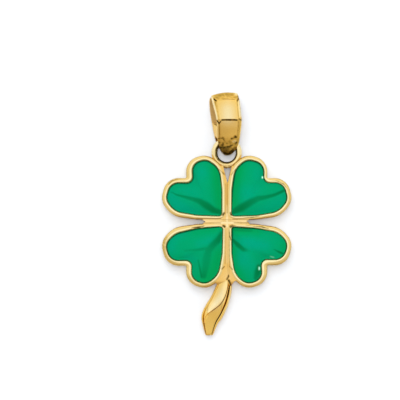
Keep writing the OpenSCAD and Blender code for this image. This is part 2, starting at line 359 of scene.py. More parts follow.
# Polishing leaves soft waves and fine hairlines in the surface
polish, given, polish_out = effect(
    "polish", {"Waves per metre": 1400.0, "Hairlines": 0.15}, ["Height", "Haze"])
waves = noise(polish, given["Place"], given["Waves per metre"], 1.5, 0.4)
drawn_out = add_node(polish, "Mapping", {
    "Vector": given["Place"], "Rotation": (0, 0, 0.6), "Scale": (30000, 1400, 30000)})
hairs = noise(polish, drawn_out.outputs["Vector"], 1.0, 2.0, 0.6)
hair_height = maths(polish, "MULTIPLY", hairs, given["Hairlines"])
feed(polish, polish_out, {"Height": maths(polish, "ADD", waves, hair_height), "Haze": hairs})

# Tarnish fills the recesses and painted shade darkens creases, joins and sides, and pits show where
# the casting is rough
tarnish_and_shade, given, darkening_out = effect("tarnish_and_shade", {"Darkening": 0.0, "Pitting": 0.0}, ["Mask"])
specks = noise(tarnish_and_shade, given["Place"], 5000.0, 2.0, 0.6)
pitted = maths(tarnish_and_shade, "MULTIPLY", spread(tarnish_and_shade, specks, 0.48, 0.56), given["Pitting"])
darkened_places = maths(tarnish_and_shade, "MULTIPLY", spread(tarnish_and_shade, specks, 0.3, 0.6, 0.65, 1.1), given["Darkening"])
darkest = maths(tarnish_and_shade, "MAXIMUM", pitted, darkened_places, use_clamp=True)
feed(tarnish_and_shade, darkening_out, {"Mask": darkest})


def new_finish(name):
    """A new material with its shader, its place on the object, and the marks of polishing."""
    material = bpy.data.materials.new(name)
    material.use_nodes = True
    tree = material.node_tree
    place = add_node(tree, "TexCoord").outputs["Object"]
    marks = add_node(tree, "Group", node_tree=polish)
    feed(tree, marks, {"Place": place})
    return material, tree, tree.nodes["Principled BSDF"], place, marks


def gold_finish(name, bright, deep, rough, wave_depth):
    """Yellow gold that drifts between two tones, lighter where a highlight is painted, and dark with
    tarnishing and painted shade.
    """
    material, tree, shader, place, marks = new_finish(name)
    dark = add_node(tree, "Group", node_tree=tarnish_and_shade)
    darkening_value = kept_value(tree, "tarnish_and_shade")
    feed(tree, dark, {"Place": place, "Darkening": darkening_value, "Pitting": kept_value(tree, "pitting")})
    mask = dark.outputs["Mask"]
    tone = mixed(tree, noise(tree, place, 700.0), bright, deep)
    # Painted highlight: lighter, creamier gold where a piece keeps one
    painted_light = mixed(tree, kept_value(tree, "painted_highlight"), tone, (0.96, 0.81, 0.46))
    # Darkened by a mask that holds both tarnish and painted shade
    stained_and_shaded = mixed(tree, spread(tree, mask, 0.0, 0.5), painted_light, (0.74, 0.67, 0.47), "MULTIPLY")
    darkened_colour = mixed(tree, spread(tree, mask, 0.4, 1.0), stained_and_shaded, (0.06, 0.040, 0.006))
    haze = spread(tree, marks.outputs["Haze"], 0.3, 0.7, rough * 0.8, rough * 1.3)
    dull = maths(tree, "MULTIPLY_ADD", mask, 0.15, haze)
    roughness = maths(tree, "MULTIPLY_ADD", kept_value(tree, "satin"), 0.5, dull)
    sunk = maths(tree, "SUBTRACT", marks.outputs["Height"], mask)
    feed(tree, shader, {
        "Base Color": darkened_colour, "Metallic": 1.0, "Specular Tint": (1.0, 0.86, 0.55, 1),
        "Roughness": roughness, "Normal": relief(tree, sunk, wave_depth)})
    return material


polish_depth = 0.010 * MM
polished_gold = gold_finish(
    "polished_gold", (0.87, 0.665, 0.265), (0.85, 0.60, 0.205), 0.15, polish_depth)


def place_piece(piece, material, node):
    """Gives a finished piece its material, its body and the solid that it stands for."""
    piece.data.materials.clear()
    piece.data.materials.append(material)
    for helper in ("corner", "mark"):
        if helper in piece.data.attributes:
            piece.data.attributes.remove(piece.data.attributes[helper])
    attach(piece, "root")
    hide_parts(node)


for leaf in LEAVES:
    outer = leaf_outline(leaf, rim_w, cell_nudges[leaf])
    field_edge = leaf_outline(leaf, 0, field_nudges[leaf])

    def between(share):
        """The outline at a share of the rim's width inwards."""
        return [a.lerp(b, share) for a, b in zip(outer, field_edge)]

    cell = blank("cell_" + leaf, between(0.2), 0)
    rise(between(0.06), foot_round / 3)
    rise(outer, foot_round)
    for share, depth, painted_light in rim_profile:
        rise(between(share), rim_h - depth * MM, painted_light)
    rise(field_edge, plate_t)
    close_up(cell, 40)
    # Marks above 0 are a painted highlight, and those below 0 painted shade on the rim's outer fall
    marks = marks_of(cell)
    keep(cell, "painted_highlight", [max(mark, 0) for mark in marks])
    flaw_face(cell, [max(-mark, 0) for mark in marks])
    place_piece(cell, polished_gold, "clover_frame")


# The enamel
# A field of glassy green enamel in each cell, fused to the gold and domed a
# little, with a painted shadow line where it runs down to the rim. Soft folds
# are pressed across each field and painted darker, as painted shade.

enamel_gap = 0.02 * MM
enamel_drop = 0.17 * MM
enamel_crown = 0.2 * MM
face_h = rim_h - enamel_drop
glaze_from = face_h - 0.03 * MM
fold_depth = 0.035 * MM
crown_share = (0.31, 0.34)
# How far the edge's own rings lie inside the field, and their depth below the
# face, in millimetres
edge_rings = [
    (0, 0.09), (0.02, 0.055), (0.045, 0.03), (0.07, 0.016), (0.1, 0.007), (0.14, 0.002),
    (0.18, 0),
]
# Shares of the way from the crown to the edge at which the face has rings
face_rings = [0.96, 0.92, 0.88] + [0.84 - 0.05 * k for k in range(17)]

# Folds of each field in shares of the leaf's width and height from the middle:
# a line of places, each with the half width of the band and its strength
#    across  up    half   strength
folds = {
    "upper_left": [
        [(0, 0.04, 0.036, 1), (0.043, 0.065, 0.042, 1), (0.163, 0.106, 0.057, 1),
         (0.282, 0.184, 0.064, 0.95), (0.4, 0.26, 0.05, 0.85), (0.52, 0.299, 0.036, 0.75),
         (0.669, 0.341, 0.023, 0.7), (0.819, 0.38, 0.014, 0.7), (0.922, 0.435, 0.008, 0.5)],
    ],
    "upper_right": [
        [(0, 0.055, 0.038, 1), (0.022, 0.065, 0.043, 1), (0.179, 0.146, 0.07, 1),
         (0.358, 0.251, 0.06, 0.85), (0.477, 0.311, 0.046, 0.75), (0.626, 0.336, 0.033, 0.8),
         (0.776, 0.378, 0.027, 0.9), (0.894, 0.432, 0.024, 0.95), (0.969, 0.468, 0.02, 0.9)],
    ],
    "lower_left": [
        [(0.005, 0.115, 0.036, 0.8), (0.073, 0.235, 0.054, 0.9), (0.163, 0.325, 0.059, 0.7),
         (0.238, 0.416, 0.059, 0.55), (0.275, 0.567, 0.07, 0.45), (0.297, 0.717, 0.063, 0.45),
         (0.327, 0.884, 0.045, 0.7)],
        [(0.284, 0.387, 0.027, 0.5), (0.42, 0.408, 0.024, 0.4), (0.669, 0.423, 0.018, 0.2)],
        [(0.431, 0.596, 0.014, 0.4), (0.4, 0.74, 0.016, 0.7), (0.365, 0.898, 0.02, 0.9)],
    ],
    "lower_right": [
        [(0.03, 0.235, 0.027, 1), (0.12, 0.325, 0.04, 1), (0.209, 0.401, 0.036, 0.85),
         (0.313, 0.424, 0.023, 0.2)],
        [(0.767, 0.401, 0.01, 0.4), (0.849, 0.446, 0.018, 1), (0.93, 0.482, 0.017, 0.9)],
        [(0.492, 0.717, 0.045, 0.9), (0.477, 0.808, 0.06, 1), (0.447, 0.913, 0.045, 0.8)],
        [(0.05, 0.045, 0.024, 0.5), (0.358, 0.062, 0.022, 0.4)],
    ],
}
# Where the glaze is painted bluer, as a painted reflection of the sky, and where greener
#    across  up    half   strength
painted_sky_places = {
    "upper_left": [
        [(0.93, 0.36, 0.1, 0.9), (0.8, 0.18, 0.12, 1), (0.6, 0.08, 0.11, 0.9),
         (0.4, 0.04, 0.08, 0.5)],
        [(0.37, 0.78, 0.1, 0.8), (0.42, 0.66, 0.12, 0.4)],
        [(0.5, 0.42, 0.14, 0.5), (0.7, 0.47, 0.08, 0.5)],
    ],
    "upper_right": [
        [(0.3, 0.4, 0.16, 0.8), (0.42, 0.48, 0.12, 0.5)],
        [(0.9, 0.28, 0.1, 0.6), (0.62, 0.13, 0.1, 0.5), (0.35, 0.06, 0.06, 0.3)],
        [(0.46, 0.78, 0.08, 0.5), (0.46, 0.7, 0.08, 0.5)],
    ],
    "lower_left": [
        [(0.92, 0.38, 0.09, 0.7), (0.88, 0.22, 0.08, 0.6), (0.72, 0.12, 0.07, 0.4)],
        [(0.22, 0.24, 0.06, 0.7), (0.42, 0.3, 0.06, 0.5)],
        [(0.62, 0.54, 0.06, 0.5), (0.5, 0.58, 0.06, 0.4)],
    ],
    "lower_right": [
        [(0.22, 0.26, 0.08, 0.9), (0.34, 0.29, 0.1, 1.2), (0.6, 0.33, 0.09, 0.8)],
        [(0.22, 0.58, 0.14, 0.8), (0.34, 0.68, 0.1, 0.5)],
    ],
}
green_places = {
    "upper_left": [[(0.05, 0.15, 0.08, 0.8), (0.08, 0.5, 0.09, 0.9), (0.13, 0.88, 0.09, 0.9)]],
    "upper_right": [[(0.05, 0.2, 0.09, 0.8), (0.06, 0.55, 0.11, 1), (0.14, 0.86, 0.1, 0.9)]],
    "lower_left": [
        [(0.06, 0.5, 0.12, 0.8), (0.12, 0.75, 0.14, 0.9), (0.28, 0.95, 0.14, 0.9)],
        [(0.1, 0.04, 0.05, 0.5), (0.5, 0.1, 0.06, 0.4)],
    ],
    "lower_right": [
        [(0.04, 0.05, 0.08, 0.9), (0.45, 0.07, 0.08, 0.7)],
        [(0.03, 0.4, 0.06, 0.8), (0.06, 0.7, 0.07, 0.8), (0.2, 0.95, 0.07, 0.6)],
        [(0.95, 0.35, 0.08, 0.6), (0.93, 0.5, 0.06, 0.3)],
    ],
}
# Painted glints near the rim, on beads of glaze that stand a little proud: strokes in millimetres
painted_glints = [
    [(2.88, 3.53, 0.045, 1), (2.88, 3.58, 0.045, 1)],
    [(2.62, -3.7, 0.045, 0.8), (2.61, -3.84, 0.045, 0.8)],
    [(3.54, -2.81, 0.04, 0.2), (3.76, -2.87, 0.04, 0.2)],
]
glaze_bead_h = 0.02 * MM


def enamel_outline(leaf, inwards):
    """Outline of a leaf's field, moved inwards."""
    return leaf_outline(leaf, -inwards, field_nudges[leaf])


def colour_field(piece, leaf):
    """Presses the folds into a field's face, and keeps them, the painted sky reflection and the
    painted glints for the colour.
    """
    side, level = LEAVES[leaf]
    kept = {"fold": [], "tint": [], "bead": []}
    for vertex in piece.data.vertices:
        fold = 0.0
        tint = 0.5
        # Painted glint: each bead is raised a little and painted lighter
        bead = strength_at(painted_glints, vertex.co, 2)
        if vertex.co.z > glaze_from:
            across = (vertex.co.x * side - bar_w / 2) / leaf_w
            up = (vertex.co.y * level - belt_w / 2) / leaf_h
            fold = stroke_at(folds[leaf], across, up)
            # Painted sky reflection: bluer and greener places of the glaze
            tint += 0.5 * stroke_at(painted_sky_places[leaf], across, up, 2)
            tint -= 0.5 * stroke_at(green_places[leaf], across, up, 2)
            vertex.co.z += glaze_bead_h * bead - fold_depth * fold
        kept["fold"].append(fold)
        kept["tint"].append(tint)
        kept["bead"].append(bead)
    for name, values in kept.items():
        keep(piece, name, values)


def enamel_glaze():
    """Glassy green: bluer with a painted sky reflection, darker with painted shade in the folds and
    at the rim, and with painted glints.
    """
    material, tree, shader, place, marks = new_finish("green_enamel")
    green = (0.000, 0.212, 0.050)
    teal = (0.000, 0.218, 0.123)
    deep = (0.000, 0.112, 0.030)
    rim_shadow_colour = (0.000, 0.060, 0.020)
    glint_colour = (0.45, 0.95, 0.72)
    body = mixed(tree, kept_value(tree, "tint"), green, teal)
    grain = spread(tree, noise(tree, place, 9000.0), 0.3, 0.7, 0.0, 0.12)
    grainy = mixed(tree, grain, body, deep)
    folded = mixed(tree, kept_value(tree, "fold"), grainy, deep)
    rimmed = mixed(tree, kept_value(tree, "rim_shade"), folded, rim_shadow_colour)
    with_glints = mixed(tree, kept_value(tree, "bead"), rimmed, glint_colour)
    feed(tree, marks, {"Waves per metre": 900.0, "Hairlines": 0.02})
    feed(tree, shader, {
        "Base Color": with_glints, "Specular IOR Level": 0.3, "Specular Tint": (0.0, 1.0, 0.55, 1),
        "Roughness": spread(tree, marks.outputs["Haze"], 0.3, 0.7, 0.10, 0.16),
        "Coat Weight": 0.03, "Coat Roughness": 0.04,
        "Normal": relief(tree, marks.outputs["Height"], polish_depth)})
    return material


def ease(low, high, value):
    """Runs smoothly from 0 at low to 1 at high."""
    t = min(max((value - low) / (high - low), 0), 1)
    return t * t * (3 - 2 * t)


green_enamel = enamel_glaze()
# The painted shadow line round a field: how broad it is at least, and how much
# more towards its broad side, in millimetres
line_w = 0.045
line_more = 0.085
broad_side = Vector((-0.55, 0.83))
dome_power = 2.6
for leaf, (side, level) in LEAVES.items():
    crown_x = side * (bar_w / 2 + crown_share[0] * leaf_w)
    crown_y = level * (belt_w / 2 + crown_share[1] * leaf_h)
    crown = Vector((crown_x, crown_y))
    field = blank("enamel_field_" + leaf, enamel_outline(leaf, enamel_gap), plate_t + enamel_gap)
    for inside, depth in edge_rings:
        last_ring = enamel_outline(leaf, enamel_gap + inside * MM)
        rise(last_ring, face_h - depth * MM, inside)
    for share in face_rings:
        dome = enamel_crown * (1 - share ** dome_power)
        rise([crown.lerp(point, share) for point in last_ring], face_h + dome, 1.0)
    close_up(field, 60)

    # The painted shadow line round the field is broadest towards the picture's top left
    rim_shade = []
    for vertex, inside in zip(field.data.vertices, marks_of(field)):
        out = (vertex.co.xy - crown).normalized()
        broad = line_w + line_more * max(0.0, out.dot(broad_side))
        rim_shade.append(1 - ease(0.5 * broad, 1.4 * broad, inside))
    keep(field, "rim_shade", rim_shade)
    colour_field(field, leaf)
    place_piece(field, green_enamel, "enamel_" + leaf)


# The web
# Flat gold between the leaves, hardly lower than their rims. It joins the
# four cells at the middle, ends in a V under the ring, and spreads between
# the lower leaves to carry the stem. Faint creases cross at its middle.

web_h = rim_h - 0.05 * MM
web_voxel = 0.032 * MM
# How far in under the rims the web reaches, as a share of their width, and
# how near to the bar's and the belt's middle it keeps to them
web_grip = 0.42
bar_reach = 1.05 * MM
belt_reach = 0.8 * MM
crease_depth = 0.025 * MM
# How far out the web goes along each leaf, beside the belt and beside the bar
web_reach = {
    "upper_right": (1.95, 4.55), "upper_left": (2.05, 4.55),
    "lower_left": (1.95, 4.9), "lower_right": (1.92, 4.66),
}
# What closes the web's outline after the run along each leaf, in millimetres
web_ends = {
    "upper_right": [(0.42, 4.5), (0.35, 4.21), (0.17, 3.45), (0.06, 3.06), (-0.03, 3.45),
                    (-0.23, 4.21), (-0.28, 4.5)],
    "upper_left": [(-1.9, 0.12), (-1.68, 0), (-1.88, -0.1)],
    "lower_left": [(-0.8, -5.05), (-0.3, -5.15), (0.36, -5.15), (0.5, -4.95), (0.58, -4.82)],
    "lower_right": [(1.76, -0.06), (1.54, 0.04), (1.76, 0.12)],
}
# Beyond this the web's foot dips under the stem's top, ever more steeply
foot_from = -4.75 * MM
foot_run = 0.4 * MM
foot_fall = 0.15 * MM
# Where the web is painted lighter, as a painted highlight
web_pale = [
    [(0, 0.1, 0.3, 0.3), (0.1, 0.05, 0.3, 0.3)],
    [(-1.7, 0.05, 0.25, 0.5), (-0.5, 0.05, 0.25, 0.4)],
    [(0.5, 0.05, 0.25, 0.4), (1.5, 0.05, 0.25, 0.6)],
    [(-1.2, -0.12, 0.07, 0.5), (-0.3, -0.1, 0.09, 0.8), (0.4, -0.1, 0.09, 0.8),
     (1, -0.13, 0.07, 0.6)],
    [(0.03, 1.3, 0.07, 0.3), (0.02, 0.5, 0.08, 0.7), (0.03, -0.4, 0.11, 0.8)],
    [(0.05, -0.6, 0.15, 0.2), (0.08, -3.2, 0.15, 0.2)],
    [(0.05, -3.9, 0.2, 0.1), (0.05, -4.4, 0.4, 0.2)],
]
# Creases of the web: a line of places with the half width and strength
creases = [
    [(-1.6, 0.07, 0.05, 0.2), (-0.5, 0.1, 0.06, 0.8), (0.5, 0.08, 0.06, 0.9),
     (1.6, 0.04, 0.05, 0.5)],
    [(0.02, 3.1, 0.05, 0.6), (0.03, 1.8, 0.06, 1), (0, 0.4, 0.05, 0.6)],
    [(0.05, -0.5, 0.05, 0.5), (0.06, -1.8, 0.05, 0.9), (0.1, -3.2, 0.05, 0.8),
     (0.16, -4.2, 0.05, 0.9)],
]


def melt(piece, voxel):
    """Runs all that a piece is made of together, in voxels."""
    remesh = piece.modifiers.new("voxels", "REMESH")
    remesh.mode = "VOXEL"
    remesh.voxel_size = voxel
    bpy.ops.object.modifier_apply(modifier=remesh.name)


web_edge = []
half_round = around // 2
for leaf, corners in web_ends.items():
    run = leaf_outline(leaf, rim_w * web_grip)
    kept_run = []
    across, up = web_reach[leaf]
    for point in run[half_round:] + run[:half_round]:
        beside_bar = abs(point.x) < bar_reach and abs(point.y) < up * MM
        beside_belt = abs(point.y) < belt_reach and abs(point.x) < across * MM
        if beside_bar or beside_belt:
            kept_run.append(point)
    if leaf in ("upper_right", "lower_left"):
        kept_run.reverse()
    web_edge += kept_run + [Vector(corner) * MM for corner in corners]
# A darker copy of the gold, as painted shade, for the web and the solder
shaded_gold = gold_finish("shaded_gold", (0.79, 0.505, 0.146), (0.77, 0.465, 0.118), 0.17, polish_depth)
web = blank("web", web_edge, 0)
bpy.ops.mesh.extrude_region_move(TRANSFORM_OT_translate={"value": (0, 0, web_h)})
close_up(web)
melt(web, web_voxel)
for vertex in web.data.vertices:
    if vertex.co.z > web_h - web_voxel:
        past_foot = max(0.0, (foot_from - vertex.co.y) / foot_run)
        crease = crease_depth * strength_at(creases, vertex.co)
        vertex.co.z = web_h - crease - foot_fall * past_foot ** 2
close_up(web, 50)
flaw_face(web)
keep(web, "painted_highlight", [strength_at(web_pale, vertex.co, 2) for vertex in web.data.vertices])
place_piece(web, shaded_gold, "clover_frame")


# The hanging ring
# A ring of round wire in the plane of the clover, soldered to the shoulders
# of the two upper leaves. Inside its hole the wire is painted dark as shade, and is a little
# rougher.

wire_r = 0.24 * MM
ring_r = 0.74 * MM + wire_r
ring_y = belt_w / 2 + leaf_h * 1.142
ring_lift = 0.8 * MM

bpy.ops.mesh.primitive_torus_add(
    location=(0, ring_y, ring_lift), major_radius=ring_r, minor_radius=wire_r,
    major_segments=128, minor_segments=32)
ring = bpy.context.object
ring.name = "hanging_ring"
bpy.ops.object.transform_apply(location=True, rotation=True, scale=True)
close_up(ring, 60)
# The painted shade starts nearer to the wire's middle on the left than on the
# right, and the painted highlight is weakest at the ring's foot
ring_shade = []
ring_highlight = []
for vertex in ring.data.vertices:
    out = Vector((vertex.co.x, vertex.co.y - ring_y)).length
    inner_share = (ring_r - out) / wire_r
    from_share = 0.05 + 0.25 * vertex.co.x / ring_r
    ring_shade.append(0.9 * ease(from_share, from_share + 0.5, inner_share))
    ring_highlight.append(0.4 + 0.4 * ease(-0.8, 0.2, (vertex.co.y - ring_y) / ring_r))
keep(ring, "tarnish_and_shade", ring_shade)
keep(ring, "painted_highlight", ring_highlight)
place_piece(ring, polished_gold, "clover_frame")

# Beads of solder between the ring and the two leaves, run together
#    x      y      z     radius, in millimetres
solder_beads = [
    (-0.64, 4.86, 0.88, 0.15), (-0.45, 4.64, 0.93, 0.14), (-0.3, 4.48, 0.97, 0.13),
    (-0.12, 4.43, 1, 0.13), (0.05, 4.4, 1.02, 0.1), (0.2, 4.43, 1, 0.13),
    (0.36, 4.49, 0.97, 0.13), (0.5, 4.65, 0.93, 0.14), (0.69, 4.88, 0.88, 0.15),
    (-0.02, 4.4, 0.82, 0.13), (0.26, 4.44, 0.8, 0.13), (-0.28, 4.46, 0.8, 0.13),
]
solder_voxel = 0.025 * MM
# Dark seams in the solder
solder_seams = [
    [(-0.4, 4.5, 0.045, 0.8), (-0.2, 4.41, 0.045, 0.9), (-0.02, 4.38, 0.04, 0.8)],
    [(0.12, 4.38, 0.04, 0.8), (0.28, 4.42, 0.045, 0.9), (0.44, 4.5, 0.045, 0.8)],
    [(-0.2, 4.58, 0.03, 0.5), (-0.04, 4.55, 0.03, 0.6), (0.1, 4.56, 0.03, 0.5)],
]
beads = []
for x, y, z, r in solder_beads:
    bpy.ops.mesh.primitive_ico_sphere_add(
        subdivisions=3, radius=r * MM, location=(x * MM, y * MM, z * MM))
    beads.append(bpy.context.object)
for bead in beads:
    bead.select_set(True)
bpy.ops.object.join()
solder = bpy.context.object
solder.name = "ring_solder"
bpy.ops.object.transform_apply(location=True, rotation=True, scale=True)
melt(solder, solder_voxel)
run = solder.modifiers.new("run", "SMOOTH")
run.iterations = 5
bpy.ops.object.modifier_apply(modifier=run.name)
close_up(solder, 60)
keep(solder, "tarnish_and_shade", [strength_at(solder_seams, vertex.co) for vertex in solder.data.vertices])
keep(solder, "pitting", 0.4)
# A painted highlight over all the solder
keep(solder, "painted_highlight", 0.6)
place_piece(solder, shaded_gold, "clover_frame")


# The stem
# The clover's stem, cast solid: a bright facet and a darker one meet at a
# curved crease, and a narrow strip runs beside a groove along its right edge.

stem_top = belt_w / 2 + leaf_h * 0.92
stem_l = 4.6 * MM
stem_w = 1.64 * MM
stem_sweep = 1.36 * MM
stem_h = 1.25 * MM
# Sections from the top down, as shares of the sizes above; crease is the
# strength of the crease, and dark that of the line inside the left edge
#   down   left   width  ridge  high  crease dark
stem_rows = [
    (0.000, 0.040, 0.42, 0.34, 0.95, 0.3, 0.0),
    (0.120, 0.120, 0.72, 0.38, 1.00, 0.7, 0.0),
    (0.270, 0.260, 0.86, 0.36, 1.00, 1.0, 0.0),
    (0.425, 0.460, 0.94, 0.18, 1.00, 1.0, 0.1),
    (0.565, 0.710, 1.00, -0.20, 0.98, 0.9, 0.2),
    (0.700, 0.935, 0.94, -0.60, 0.93, 0.4, 0.8),
    (0.845, 1.010, 0.66, -0.66, 0.86, 0.1, 0.8),
    (0.960, 1.030, 0.44, -0.66, 0.80, 0.0, 0.6),
    (1.000, 1.030, 0.34, -0.66, 0.72, 0.0, 0.5),
]
# Where the stem's face is painted lighter, as a painted highlight, in millimetres
stem_face_from = 0.7 * MM
stem_bright = [
    [(-0.05, -4.9, 0.25, 0.5), (-0.2, -5.4, 0.26, 0.7), (-0.5, -6.1, 0.28, 1),
     (-1, -6.7, 0.26, 1), (-1.45, -7.2, 0.12, 0.8)],
    [(0.3, -5.3, 0.05, 0.6), (0.16, -6.6, 0.06, 0.9), (-0.4, -8, 0.06, 0.5)],
]


def smooth_row(rows, at):
    """A row between a table's rows, on a smooth curve through them."""
    i = min(int(at), len(rows) - 2)
    t = at - i
    p0, p1, p2, p3 = (rows[min(max(k, 0), len(rows) - 1)] for k in (i - 1, i, i + 1, i + 2))
    return [b + 0.5 * t * (c - a + t * (2 * a - 5 * b + 4 * c - d + t * (3 * (b - c) + d - a)))
            for a, b, c, d in zip(p0, p1, p2, p3)]


def loft(name, sections, shade_and_tarnish=None):
    """A closed solid: a net laid over sections of equally many points, with its ends filled."""
    size = len(sections[0])
    bpy.ops.mesh.primitive_grid_add(x_subdivisions=size, y_subdivisions=len(sections) - 1)
    piece = bpy.context.object
    piece.name = name
    laid = [point for section in sections for point in section + section[:1]]
    for vertex, point in zip(piece.data.vertices, laid):
        vertex.co = point
    if shade_and_tarnish:
        keep(piece, "tarnish_and_shade", [value for row in shade_and_tarnish for value in row + row[:1]])
    bpy.ops.object.mode_set(mode="EDIT")
    bpy.ops.mesh.select_all(action="SELECT")
    bpy.ops.mesh.remove_doubles(threshold=1e-8)
    bpy.ops.mesh.select_all(action="DESELECT")
    bpy.ops.mesh.select_mode(type="EDGE")
    bpy.ops.mesh.select_non_manifold()
    bpy.ops.mesh.edge_face_add()
    bpy.ops.object.mode_set(mode="OBJECT")
    return piece


def stem_middle(at):
    """Middle of the stem at a place in its table."""
    row = smooth_row(stem_rows, at)
    return Vector((-row[1] * stem_sweep, -stem_top - row[0] * stem_l))


def stem_section(at):
    """The stem's section at a place in its table, from its left edge, and the painted shade at its
    points.
    """
    share_down, _, width, ridge, high, crease, dark = smooth_row(stem_rows, at)
    # Where it leaves the leaves, the stem's left side stands nearly level with its crease
    level = 0.14 * (1 - ease(0.1, 0.5, share_down))
    last = len(stem_rows) - 1
    down = (stem_middle(min(at + 0.2, last)) - stem_middle(max(at - 0.2, 0))).normalized()
    right = Vector((-down.y, down.x))
    # Across as a share of the half width, up as one of the height, and painted
    # shade: the left side and its line, the bright facet, the crease, the darker
    # facet, the groove and the strip
    face = [
        (-0.92, 0.00, 0), (-1.00, 0.05, 0), (-1.00, 0.62 + level, 0.4), (-0.985, 0.68 + level, 0.3),
        (-0.94, 0.72 + level, 0), (-0.88, 0.735 + level, 0), (-0.82, 0.72 + level, dark),
        (-0.76, 0.76 + level, 0),
    ]
    for share in (0.2, 0.4, 0.6, 0.8):
        up = 0.76 + level + (0.24 - level) * share + 0.10 * share * (1 - share)
        face.append((-0.76 + (ridge + 0.76) * share, up, 0))
    face.append((ridge, 1.00, 0))
    face.append((ridge + 0.045, 0.985 - 0.065 * crease, 0.65 * crease))
    face.append((ridge + 0.09, 0.97 - 0.01 * crease, 0.35 * crease))
    for share in (0.2, 0.4, 0.6, 0.8):
        up = 0.96 - 0.22 * share + 0.10 * share * (1 - share)
        face.append((ridge + 0.09 + (0.53 - ridge) * share, up, 0))
    face += [
        (0.62, 0.74, 0.2), (0.685, 0.62, 0.85), (0.74, 0.73, 0), (0.80, 0.75, 0), (0.92, 0.72, 0),
        (0.98, 0.66, 0.2), (1.00, 0.58, 0.3), (1.00, 0.05, 0), (0.92, 0.00, 0),
    ]
    middle = stem_middle(at)
    points = []
    for across, up, _ in face:
        spot = middle + right * across * width * stem_w / 2
        points.append((spot.x, spot.y, up * high * stem_h))
    return points, [shade_and_tarnish for _, _, shade_and_tarnish in face]


stem_rings = [stem_section(k / 8) for k in range(8 * (len(stem_rows) - 1) + 1)]
stem = loft("stem", [points for points, _ in stem_rings], [shade_and_tarnish for _, shade_and_tarnish in stem_rings])
close_up(stem, 32)
flaw_face(stem, [point.value for point in stem.data.attributes["tarnish_and_shade"].data])
stem_highlight = []
for vertex in stem.data.vertices:
    strength = strength_at(stem_bright, vertex.co, 2)
    stem_highlight.append(strength if vertex.co.z > stem_face_from else 0)
keep(stem, "painted_highlight", stem_highlight)
cast_gold = gold_finish("cast_gold", (0.91, 0.62, 0.170), (0.89, 0.565, 0.125), 0.20, 0.012 * MM)
place_piece(stem, cast_gold, "clover_frame")


# The bail
# A tapering loop of gold, bent at its top and at a crease across its front.
# Its lower window holds the hanging ring, and a chain runs through the upper.

bail_l = 5.08 * MM
bail_w = 2.08 * MM
bail_front = 1.33 * MM
bail_back = 0.93 * MM
bail_wall = 0.18 * MM
bail_bevel = 0.34 * MM
bevel_depth = 0.35 * bail_bevel
bail_hang = 0.95 * MM + wire_r
bail_pitch = math.radians(10.4)
bail_roll = math.radians(12)
bail_lean = math.radians(2.5)
bail_crown = 0.03 * MM
bail_dome = 0.17 * MM
back_dome = 0.29 * MM
bail_flare = 0.17 * MM
panel_crown = 0.03 * MM
crease_row = 10
crease_slant = 0.08
# Sections from the lower tip to the top: depths as shares of bail_front and
# bail_back, half widths as shares of half of bail_w
#   along  front  back   front_w back_w
bail_rows = [
    (0.000, 0.090, 0.120, 0.16, 0.16),
    (0.012, 0.210, 0.290, 0.26, 0.26),
    (0.040, 0.350, 0.450, 0.38, 0.36),
    (0.080, 0.480, 0.550, 0.50, 0.46),
    (0.140, 0.555, 0.640, 0.68, 0.60),
    (0.200, 0.590, 0.690, 0.79, 0.70),
    (0.260, 0.635, 0.730, 0.86, 0.78),
    (0.360, 0.740, 0.810, 0.92, 0.86),
    (0.480, 0.880, 0.910, 0.96, 0.93),
    (0.570, 0.970, 0.990, 0.98, 0.98),
    (0.611, 1.000, 1.000, 0.99, 1.00),
    (0.660, 0.930, 0.985, 1.00, 1.03),
    (0.760, 0.790, 0.920, 1.01, 1.07),
    (0.840, 0.670, 0.830, 1.01, 1.09),
    (0.900, 0.560, 0.700, 1.01, 1.07),
    (0.940, 0.430, 0.560, 1.00, 1.07),
    (0.968, 0.330, 0.450, 0.98, 1.04),
    (0.987, 0.230, 0.310, 0.91, 0.96),
    (1.000, 0.080, 0.110, 0.74, 0.76),
]
# The top's two corners stand up as small ears: place, reach and height
#    x     y     reach  height, in millimetres
ears = [(-1.12, 4.86, 0.22, 0.09), (0.97, 4.86, 0.24, 0.10)]


def slant(along):
    """How far the creases at a share of the length run down to the right."""
    return crease_slant * ease(0.35, 0.55, along) * (1 - ease(0.92, 0.99, along))


def top_bow(share, along, dome=bail_dome):
    """How far the top bows upwards at a share of the half width."""
    return (bail_crown - dome * min(1, share ** 2)) * ease(0.86, 0.98, along)


def bail_section(row):
    """The bail's section across its length, with bevelled edges and a crowned front."""
    along, front, back, front_w, back_w = row
    front *= bail_front
    back *= bail_back
    front_w *= bail_w / 2
    back_w *= bail_w / 2
    bevel_w = bail_bevel * min(1, front / bail_front / 0.6)
    bevel_d = min(bevel_depth, front * 0.4)
    flare = bail_flare * ease(0.62, 0.94, along)
    panel = front_w - bevel_w
    outer = front_w - 0.3 * bevel_w
    inner = panel + 0.25 * bevel_w
    # The bevel has three facets, each cut in four, so that it can be painted
    facets = [
        (front_w, front - bevel_d), (outer, front - 0.45 * bevel_d),
        (inner, front - 0.10 * bevel_d), (panel, front),
    ]
    bevel = []
    for (x0, z0), (x1, z1) in zip(facets, facets[1:]):
        bevel += [(x0 + (x1 - x0) * k / 4, z0 + (z1 - z0) * k / 4) for k in range(4)]
    edge = [
        (-back_w, -back + bevel_d / 2), (-back_w + bevel_d / 2, -back),
        (back_w - bevel_d / 2, -back), (back_w, -back + bevel_d / 2),
    ]
    edge += bevel
    for k in range(25):
        share = 1 - k / 12
        edge.append((panel * share, front + panel_crown * (1 - share ** 2)))
    for x, z in reversed(bevel):
        edge.append((-x - flare * min(max((x - inner) / (outer - inner), 0), 1), z))
    return [(x, along * bail_l, z) for x, z in edge]


